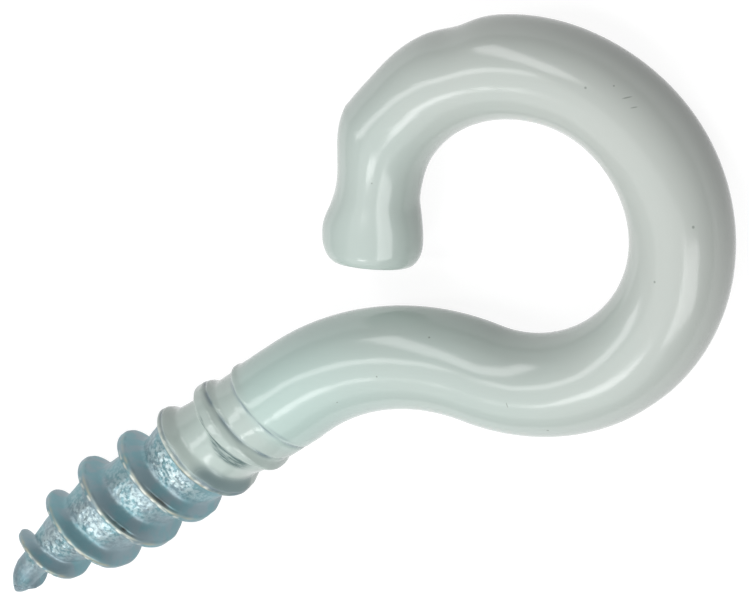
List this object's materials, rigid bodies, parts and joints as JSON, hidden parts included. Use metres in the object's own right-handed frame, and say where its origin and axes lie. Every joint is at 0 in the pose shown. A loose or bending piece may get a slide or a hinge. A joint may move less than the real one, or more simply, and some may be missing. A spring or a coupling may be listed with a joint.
{
  "type": "open screw eye",
  "caption": "White-coated wire screw eye, left open at the mouth like a hook, with a coarse wood-screw thread and a gimlet point.",
  "frame": {"origin": "on the shank's axis, at the shoulder where the plain wire steps down to the thread", "axes": "+X along the shank from the point towards the eye, +Y in the plane of the eye towards the side where its mouth is, +Z square to the plane of the eye"},
  "size_m": [0.0299, 0.0136, 0.0038],
  "materials": {
    "white_coated_steel": "gloss"
  },
  "bodies": {
    "root": {"screw_eye": "white_coated_steel"}
  },
  "joints": []
}
